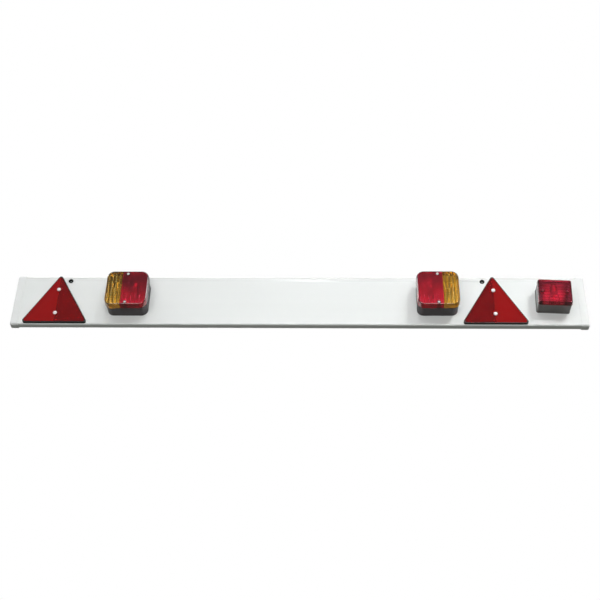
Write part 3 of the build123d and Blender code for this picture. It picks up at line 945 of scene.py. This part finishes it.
def give(mesh: Mesh, *materials: Material) -> Mesh:
    """Leaves a mesh with the given materials alone.

    Args:
        mesh: The mesh.
        materials: Its materials in order.

    Returns:
        The same mesh.
    """
    mesh.materials.clear()
    for material in materials:
        mesh.materials.append(material)
    return mesh


def add_piece(name: str, mesh: Mesh, slot: str, *nodes: str) -> None:
    """Adds a finished mesh to the board.

    Args:
        name: Name of the piece.
        mesh: Its mesh, in place and with its material.
        slot: The record's material slot; not used.
        nodes: CAD nodes that it stands for.
    """
    piece = new_object(mesh, name)
    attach(piece, "root")
    if nodes:
        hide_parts(*nodes)
    log.info("built %s with %d faces", name, len(mesh.polygons))


@dataclass
class BoardShell:
    """White channel with its end caps and rubber tie grommets."""

    palette: Palette
    cap_edges: Spot = (-0.6115, 0.7245)
    foot: float = 0.0004
    crest: float = 0.0042
    brow: float = 0.0094
    shoulder: float = 0.0125
    swelling: float = 0.00041
    skin: float = 0.0020
    fade: float = 0.001

    def build(self) -> None:
        """Builds the channel, whose face stands out faintly along its top, up to the caps."""
        levels = (self.foot, self.crest, self.brow, self.shoulder)
        left, right = self.cap_edges[0] - self.fade, self.cap_edges[1] + self.fade
        mesh = merged_copy("board")
        with editing(mesh) as shape:
            for level in levels:
                part_faces(shape, (0.0, 0.0, level), (0.0, 0.0, 1.0))
            for edge in (left - self.fade, left, right, right + self.fade):
                part_faces(shape, (edge, 0.0, 0.0), (1.0, 0.0, 0.0))
            for point in shape.verts:
                if point.co.y < self.skin and left - CLOSE < point.co.x < right + CLOSE:
                    point.co.y -= self.swelling * self.fullness(point.co.z)
        channel = give(even_shading(mesh, levels), self.palette["board_white"])
        add_piece("board_channel", channel, "board_white", "board")

    def fullness(self, height: float) -> float:
        """Gives the share of the swelling at a height on the board."""
        rise, fall = self.crest - self.foot, self.shoulder - self.brow
        return max(min((height - self.foot) / rise, (self.shoulder - height) / fall, 1.0), 0.0)

    def dress(self) -> None:
        """Gives the shell's nodes their finishes."""
        for side in Side:
            self.palette.dress(f"end_cap_{side.value}", "cap_white")
            self.palette.dress(f"tie_grommet_{side.value}", "rubber_black")


@dataclass
class TriangleReflector:
    """Red triangle on its black tray, with a bed of corner cells behind its face."""

    palette: Palette
    side: Side
    cells: CellTree
    centre: float = 0.52375
    base: float = -0.1234
    edge: float = 0.159
    border: float = 0.0054
    reach: float = 0.069
    cell_radius: float = 0.0016
    front: float = 0.0073
    bed_front: float = 0.0046
    bed_back: float = 0.0021
    boss: float = 0.0078
    lower_screw: float = 0.0253
    upper_screw: float = 0.0929

    @property
    def middle(self) -> float:
        """Place of its centre line along the board."""
        return self.side.outward * self.centre

    def seats(self) -> list[Vector]:
        """Gives the seats of its two screws' heads."""
        heights = (self.lower_screw, self.upper_screw)
        return [Vector((self.middle, -self.front, self.base + height)) for height in heights]

    def build(self) -> None:
        """Builds the face plate and the cells."""
        name = self.side.value
        plate = even_shading(self.halved(merged_copy(f"triangle_prism_{name}")))
        add_piece(f"triangle_face_{name}", give(plate, self.palette["prism_red"]), "prism_red",
                  f"triangle_prism_{name}")
        cell = new_object(self.corner_cell())
        pitch = ROOT_3 * self.cell_radius
        row_pitch = 1.5 * self.cell_radius
        bed = self.cells.grow(
            self.palette["prism_cells"], cell=cell, pitch=pitch, row_pitch=row_pitch,
            columns=int(self.edge / pitch) // 2 * 2 + 1, rows=int(self.edge * ROOT_3 / 2 / row_pitch),
            side=self.edge, border=self.border, reach=self.reach, boss=self.boss,
            lower=self.lower_screw, upper=self.upper_screw, outward=self.side.outward)
        drop(cell)
        bed.transform(Matrix.Translation((self.middle, -self.bed_front, self.base)))
        add_piece(f"triangle_cells_{name}", bed, "prism_red")

    def halved(self, mesh: Mesh) -> Mesh:
        """Parts a moulding's faces along the centre line and marks its outer half.

        Args:
            mesh: The moulding.

        Returns:
            The same mesh.
        """
        with editing(mesh) as shape:
            part_faces(shape, (self.middle, 0.0, 0.0), (1.0, 0.0, 0.0))
        marks = mesh.attributes.new(OUTER_HALF, "FLOAT", "FACE")
        away = [(face.center.x - self.middle) * self.side.outward for face in mesh.polygons]
        marks.data.foreach_set("value", [float(distance > 0.0) for distance in away])
        return mesh

    def corner_cell(self) -> Mesh:
        """Makes one six-sided cell with three square facets that meet at its middle.

        Returns:
            The cell's mesh, with the high corners of its rim at the origin's level.
        """
        dip = self.cell_radius / math.sqrt(2 / 3) / ROOT_3
        low = self.bed_back - self.bed_front
        rim = disc(self.cell_radius, steps=6, turn=math.pi / 6)
        points = [(0.0, 0.0, -2 * dip)]
        points += [(x, y, -(k % 2) * dip) for k, (x, y) in enumerate(rim)]
        points += [(x, y, low) for x, y in rim]
        faces = [[0, 1 + (k - 1) % 6, 1 + k, 1 + (k + 1) % 6] for k in (0, 2, 4)]
        faces += [[1 + k, 1 + (k + 1) % 6, 7 + (k + 1) % 6, 7 + k] for k in range(6)]
        faces.append(list(range(12, 6, -1)))
        return closed_mesh(points, faces)

    def dress(self) -> None:
        """Gives the tray its finish."""
        self.palette.dress(f"triangle_tray_{self.side.value}", "tray_black")


@dataclass
class Lens:
    """One coloured moulding of a lamp, with flutes inside its face between two places across."""

    node: str
    finish: str
    slot: str
    ends: Spot
    ridge: float = 0.0009
    offset: float = 0.0
    pitch: float = 0.0105
    rise: float = 0.0009
    run: float = 0.0265
    drop: float = 0.0332


@dataclass
class Lamp:
    """Lamp housing with its lenses, liner and bulbs."""

    palette: Palette
    flutes: FluteTree
    centre: Spot
    lenses: list[Lens]
    nodes: dict[str, str]
    width: float = 0.101
    height: float = 0.098
    corner: float = 0.018
    depth: float = 0.051
    screw_pitch: float = 0.081
    screw_sink: float = 0.003
    screws_level: bool = False
    lay: Lay = Lay.UPRIGHT
    tilt: float = 0.0
    wall: float = 0.0025
    taper: float = 0.0012
    pillar: float = 0.0043
    bite: float = 0.0006
    least_corner: float = 0.0015
    flute_count: int = 11
    flute_room: float = 0.004
    pillar_reach: float = 0.005
    heart_depth: float = 0.01
    flat_front: float = 0.97

    def frame(self) -> Matrix:
        """Gives the lamp's own place on the board."""
        turn = Matrix.Rotation(math.radians(self.tilt), 4, "Y")
        return Matrix.Translation((self.centre[0], 0.0, self.centre[1])) @ turn

    def screw_spots(self) -> list[Spot]:
        """Places of the two lens screws in the lamp's own frame."""
        half = self.screw_pitch / 2
        return [(-half, 0.0), (half, 0.0)] if self.screws_level else [(0.0, -half), (0.0, half)]

    def seats(self) -> list[Vector]:
        """Seats of the lens screws' heads on the board."""
        seat = self.screw_sink - self.depth
        return [self.frame() @ Vector((x, seat, z)) for x, z in self.screw_spots()]

    def build(self) -> None:
        """Builds every lens of the lamp."""
        for lens in self.lenses:
            shape = combine(merged_copy(lens.node), self.flute_bank(lens), "UNION")
            lit = self.coloured(even_shading(shape), lens)
            add_piece(f"fluted_{lens.node}", lit, lens.slot, lens.node)

    def flute_bank(self, lens: Lens) -> Mesh:
        """Makes the flutes of a lens, trimmed to the room inside it and cut clear of the screws.

        Args:
            lens: What the lens is.

        Returns:
            The flutes in their place on the board.
        """
        inside = self.depth - self.wall
        bank = self.flutes.grow(
            self.palette[lens.finish], count=self.flute_count, pitch=lens.pitch, half_width=lens.ridge,
            height=lens.rise, length=lens.run)
        bank.transform(Matrix.Translation((lens.offset, 0.0, -lens.drop)))
        bank.transform(Matrix.Rotation(math.radians(self.lay.value), 4, "Y"))
        bank.transform(Matrix.Translation((0.0, -inside, 0.0)))
        width, height = (size - 2 * (self.wall + self.taper) + 2 * self.bite
                         for size in (self.width, self.height))
        corner = max(self.corner - self.wall - self.taper + self.bite, self.least_corner)
        room = room_outline(width, height, corner, lens.ends)
        block = prism_block(room, inside - self.flute_room, inside + self.bite)
        bank = combine(bank, block, "INTERSECT")
        for spot in self.screw_spots():
            reach = (inside - self.pillar_reach, inside + self.pillar_reach)
            bank = combine(bank, prism_block(disc(self.pillar, spot), *reach), "DIFFERENCE")
        bank.transform(self.frame())
        return bank

    def coloured(self, mesh: Mesh, lens: Lens) -> Mesh:
        """Gives a lens its polished front, its optics inside, and painted shade: a deeper colour round its
        edge and skirt.

        Args:
            mesh: The finished lens.
            lens: What the lens is.

        Returns:
            The mesh with its three materials.
        """
        give(mesh, *(self.palette[lens.finish + part] for part in ("", "_optics", "_skirt")))
        heart = self.frame() @ Vector((0.0, -self.heart_depth, 0.0))
        for face in mesh.polygons:
            if face.normal.dot(face.center - heart) < 0.0:
                face.material_index = 1
            # edge and skirt faces take the darker tint, painted shade
            elif abs(face.normal.y) < self.flat_front:
                face.material_index = 2
        return mesh

    def dress(self) -> None:
        """Gives the lamp's nodes their finishes."""
        for node, finish in self.nodes.items():
            self.palette.dress(node, finish)


def rear_lamp(palette: Palette, flutes: FluteTree, side: Side) -> Lamp:
    """Describes a stop, tail and indicator lamp.

    Args:
        palette: The board's finishes.
        flutes: Tree of the lens flutes.
        side: The end of the board that its amber part faces.

    Returns:
        The lamp.
    """
    name = side.value
    border, far = side.outward * LENS_BORDER, side.outward * PAST_LENS
    joint = side.outward * LENS_JOINT
    red = Lens(f"lens_red_{name}", "lens_red", "lens_red", (-far, border - joint),
               offset=side.outward * -0.0021)
    amber = Lens(f"lens_amber_{name}", "lens_amber", "lens_amber", (border + joint, far), ridge=0.0041,
                 offset=side.outward * 0.0312, pitch=0.0086, rise=0.0024, run=0.09, drop=0.0)
    nodes = {f"lamp_base_{name}": "housing_grey", f"lamp_seal_{name}": "rubber_black",
             f"lamp_reflector_{name}": f"liner_{name}", f"lamp_grommet_{name}": "rubber_black"}
    for bulb in ("stop", "indicator"):
        nodes |= {f"{bulb}_glass_{name}": "bulb_glass", f"{bulb}_cap_{name}": "bulb_metal",
                  f"{bulb}_holder_{name}": "holder_steel", f"{bulb}_contact_{name}": "contact_brass"}
    return Lamp(palette, flutes, LAMP_CENTRES[side], [red, amber], nodes)


def fog_lamp(palette: Palette, flutes: FluteTree) -> Lamp:
    """Describes the rear fog lamp.

    Args:
        palette: The board's finishes.
        flutes: Tree of the lens flutes.

    Returns:
        The lamp.
    """
    nodes = {"fog_base": "fog_grey", "fog_seal": "rubber_black", "fog_reflector": "fog_liner",
             "fog_grommet": "rubber_black", "fog_glass": "bulb_glass", "fog_cap": "fog_metal",
             "fog_holder": "fog_metal", "fog_contact": "contact_brass"}
    lens = Lens("fog_lens", "fog_red", "lens_red", (-PAST_LENS, PAST_LENS), ridge=0.0036, pitch=0.0075,
                rise=0.0006, run=0.08, drop=0.0)
    centre = (0.6618, -0.0583)
    return Lamp(palette, flutes, centre, [lens], nodes, width=0.080, height=0.067, corner=0.005, depth=0.047,
                screw_pitch=0.058, screw_sink=0.011, screws_level=True, lay=Lay.LEVEL, tilt=2.6)


@dataclass
class Screw:
    """Pan-head screw with a cross recess and a thread, its seat at the origin and its head towards -Y."""

    head_radius: float
    head: float
    shank: float
    length: float
    pitch: float
    recess: float = 0.0044
    recess_width: float = 0.0009
    recess_depth: float = 0.0013
    head_clearance: float = 0.002
    crown: float = 0.65
    crown_steps: int = 10
    rim: float = 0.0002
    tip_length: float = 0.0008
    tip_taper: float = 0.0006
    ridge_share: float = 0.42
    root_share: float = 0.75
    thread_start: float = 1.2
    thread_short: float = 2.5
    sides: int = 40

    def mesh(self, threads: ThreadTree, finish: Material) -> Mesh:
        """Builds the screw.

        Args:
            threads: Tree that winds the thread.
            finish: The screw's material.

        Returns:
            The screw's mesh.
        """
        ridge = self.pitch * self.ridge_share
        core = self.shank - ridge * self.root_share
        body = lathe(self.profile(core), self.sides)
        for width, height in ((self.recess, self.recess_width), (self.recess_width, self.recess)):
            slot = [(x * width / 2, z * height / 2) for x, z in ((-1, -1), (1, -1), (1, 1), (-1, 1))]
            reach = (self.head - self.recess_depth, self.head + self.head_clearance)
            body = combine(body, prism_block(slot, *reach), "DIFFERENCE")
        soften(body)
        run = self.length - self.thread_short * self.pitch
        thread = threads.grow(finish, radius=core, length=run, turns=run / self.pitch, ridge=ridge)
        thread.transform(Matrix.Translation((0.0, self.thread_start * self.pitch, 0.0)))
        with editing(body) as shape:
            shape.from_mesh(thread)
        return give(body, finish)

    def profile(self, core: float) -> list[Spot]:
        """Gives the screw's outline from its crown to its tip.

        Args:
            core: Radius at the root of the thread.

        Returns:
            Radius and place along the axis of each point.
        """
        angles = [math.radians(90 * step / self.crown_steps) for step in range(self.crown_steps + 1)]
        crown = [(self.head_radius * math.sin(angle),
                  -self.head * (1.0 - self.crown + self.crown * math.cos(angle))) for angle in angles]
        return [*crown, (self.head_radius, -self.rim), (self.head_radius - self.rim, 0.0),
                (self.shank, 0.0), (core, self.pitch), (core, self.length - self.tip_length),
                (core - self.tip_taper, self.length), (0.0, self.length)]


@dataclass
class Fasteners:
    """Screws, bolts and nuts of the board."""

    palette: Palette
    triangle_seats: list[Vector]
    lens_seats: list[Vector]
    fog_seats: list[Vector]

    def build(self) -> None:
        """Builds the sets of screws that show."""
        triangle_screw = Screw(head_radius=0.0046, head=0.003, shank=0.0025, length=0.0168, pitch=0.0008)
        lens_screw = Screw(head_radius=0.0035, head=0.0024, shank=0.00175, length=0.026, pitch=0.0013,
                           recess=0.0036)
        fog_screw = replace(lens_screw, length=0.018)
        zinc = self.palette["zinc_steel"]
        threads = ThreadTree()
        seating = SeatTree()
        sets = (("triangle_screw_set", triangle_screw, self.triangle_seats, ["triangle_screws"]),
                ("lens_screw_set", lens_screw, self.lens_seats, ["lens_screws"]),
                ("fog_screw_set", fog_screw, self.fog_seats, []))
        for seed, (name, screw, seats, nodes) in enumerate(sets):
            fastener = new_object(screw.mesh(threads, zinc))
            mesh = seating.grow(zinc, seats, fastener=fastener, seed=seed)
            drop(fastener)
            add_piece(name, mesh, "zinc_steel", *nodes)

    def dress(self) -> None:
        """Gives the bolts and nuts behind the board their finish."""
        for node in ("lamp_bolts", "flange_nuts", "fog_bolt", "fog_nut"):
            self.palette.dress(node, "zinc_steel")


@dataclass
class Filaments:
    """Filaments of all the bulbs, which hang from their caps."""

    palette: Palette
    glasses: list[str]
    length: float = 0.006
    coil: float = 0.0006
    wire: float = 0.00012
    stem: float = 0.020
    centre: float = 0.0125

    def build(self) -> None:
        """Builds one filament in the middle of each bulb glass."""
        seats = []
        for node in self.glasses:
            low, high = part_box(node)
            seats.append(Vector(((low.x + high.x) / 2, (low.y + high.y) / 2, low.z + self.centre)))
        mesh = FilamentTree().grow(self.palette["holder_steel"], seats, length=self.length,
                                   coil=self.coil, wire=self.wire, stem=self.stem)
        soften(mesh)
        add_piece("bulb_filaments", mesh, "holder_steel")


@dataclass
class Wiring:
    """Cables along the back, with their clips."""

    palette: Palette

    def dress(self) -> None:
        """Gives the wiring its finishes."""
        for node in ("link_cable", "fog_cable"):
            self.palette.dress(node, "cable_black")
        self.palette.dress("cable_clips", "clip_grey")


def facing(place: Place, target: Place) -> Matrix:
    """Gives the stand of a light or camera that faces a target."""
    turn = (Vector(target) - Vector(place)).to_track_quat("-Z", "Y")
    return Matrix.Translation(place) @ turn.to_matrix().to_4x4()


@dataclass(frozen=True)
class SoftLight:
    """Soft rectangular light that faces a place on the board."""

    name: str
    place: Place
    size: Spot
    power: float
    target: Place = (0.06095, 0.0, -0.0543)
    spread: float = 180.0

    def build(self) -> None:
        """Hangs the light."""
        data = bpy.data.lights.new(self.name, "AREA")
        data.shape = "RECTANGLE"
        data.size, data.size_y = self.size
        data.energy = self.power
        data.spread = math.radians(self.spread)
        new_object(data, self.name).matrix_world = facing(self.place, self.target)


@dataclass
class Studio:
    """Pale floor, soft light and the camera."""

    LIGHTS = (
        SoftLight("key_light", (2.95, -4.72, 2.25), (1.5, 1.0), 3.7, (0.8, 0.0, -0.05), 28.0),
        SoftLight("flash_light", (0.0, -3.0, 1.2), (0.2, 0.2), 11.0),
        SoftLight("fill_light", (-0.3, -2.6, -0.65), (2.4, 0.55), 36.0),
        SoftLight("left_light", (-1.8, -0.78, 1.5), (1.6, 0.2), 9.5),
        SoftLight("right_light", (1.8, -0.78, 1.5), (1.6, 0.2), 7.0),
        SoftLight("back_light", (-0.6, 2.6, 0.5), (2.2, 1.4), 36.0),
    )

    camera_place: Place = (0.14129, -2.15690, -1.55091)
    camera_target: Place = (0.06095, 0.0, -0.05430)
    camera_roll: float = 1.345
    focal: float = 1093.836
    picture: float = 600.0
    sensor: float = 36.0
    view_reach: float = 200.0
    floor_level: float = -1.9
    floor_reach: float = 60.0
    floor_sides: int = 128
    floor_tones: Tones = ((0.80, 0.80, 0.79), (0.83, 0.83, 0.82))
    floor_roughness: float = 0.8
    cloud_scale: float = 0.04
    sky_tones: Tones = ((0.096, 0.100, 0.086), (0.20, 0.20, 0.20))
    sky_range: Spot = (-0.35, 0.35)
    overhead_tone: Colour = (2.1, 2.1, 2.1)
    overhead_range: Spot = (0.72, 0.86)
    backdrop: Colour = (1.0, 1.0, 1.0)

    def build(self) -> None:
        """Sets up the whole studio."""
        self.add_camera()
        self.add_floor()
        self.add_world()
        for light in self.LIGHTS:
            light.build()
        bpy.context.scene.view_settings.view_transform = "Standard"

    def add_camera(self) -> None:
        """Puts the camera where the photograph was taken from."""
        data = bpy.data.cameras.new("camera")
        data.sensor_width = self.sensor
        data.lens = self.focal * self.sensor / self.picture
        data.clip_end = self.view_reach
        camera = new_object(data, "camera")
        roll = Matrix.Rotation(math.radians(self.camera_roll), 4, "Z")
        camera.matrix_world = facing(self.camera_place, self.camera_target) @ roll
        bpy.context.scene.camera = camera

    def add_floor(self) -> None:
        """Lays a wide pale floor below the camera."""
        mesh = bpy.data.meshes.new("floor")
        rim = [(x, y, self.floor_level) for x, y in disc(self.floor_reach, steps=self.floor_sides)]
        mesh.from_pydata(rim, [], [range(len(rim))])
        material = bpy.data.materials.new("floor_pale")
        material.use_nodes = True
        graph = Graph(material.node_tree)
        cloud = graph.noise(graph.board_place(), self.cloud_scale, detail=4.0)
        shader = material.node_tree.nodes["Principled BSDF"]
        graph.feed(shader.inputs["Base Color"], graph.mix(cloud, *self.floor_tones))
        graph.feed(shader.inputs["Roughness"], self.floor_roughness)
        floor = new_object(give(mesh, material), "floor")
        floor.visible_diffuse = False
        floor.visible_glossy = False
        floor.visible_transmission = False

    def add_world(self) -> None:
        """Makes a white backdrop whose light falls mostly from above."""
        world = bpy.data.worlds.new("studio")
        bpy.context.scene.world = world
        world.use_nodes = True
        world.node_tree.nodes.clear()
        graph = Graph(world.node_tree)
        way = graph.add("ShaderNodeTexCoord").outputs["Generated"]
        rise = graph.add("ShaderNodeSeparateXYZ", {0: way}).outputs[2]
        sides = graph.mix(graph.span(rise, 0.0, 1.0, *self.sky_range), *self.sky_tones)
        overhead = graph.span(rise, 0.0, 1.0, *self.overhead_range)
        tone = graph.mix(overhead, sides, self.overhead_tone)
        light = graph.out("ShaderNodeBackground", {"Color": tone})
        white = graph.out("ShaderNodeBackground", {"Color": opaque(self.backdrop)})
        direct = graph.add("ShaderNodeLightPath").outputs["Is Camera Ray"]
        sky = graph.out("ShaderNodeMixShader", {0: direct, 1: light, 2: white})
        graph.add("ShaderNodeOutputWorld", {"Surface": sky})


def main() -> None:
    """Builds and dresses the board and its studio."""
    logging.basicConfig(level=logging.INFO, format="%(message)s")
    palette = Palette()
    Studio().build()
    cells = CellTree()
    triangles = [TriangleReflector(palette, side, cells) for side in Side]
    flutes = FluteTree()
    left, right = (rear_lamp(palette, flutes, side) for side in Side)
    fog = fog_lamp(palette, flutes)
    fasteners = Fasteners(palette, [seat for part in triangles for seat in part.seats()],
                          left.seats() + right.seats(), fog.seats())
    for part in (BoardShell(palette), *triangles, left, right, fog, fasteners):
        part.build()
        part.dress()
    glasses = [f"{bulb}_glass_{side.value}" for bulb in ("stop", "indicator") for side in Side]
    Filaments(palette, [*glasses, "fog_glass"]).build()
    Wiring(palette).dress()


if __name__ == "__main__":
    main()
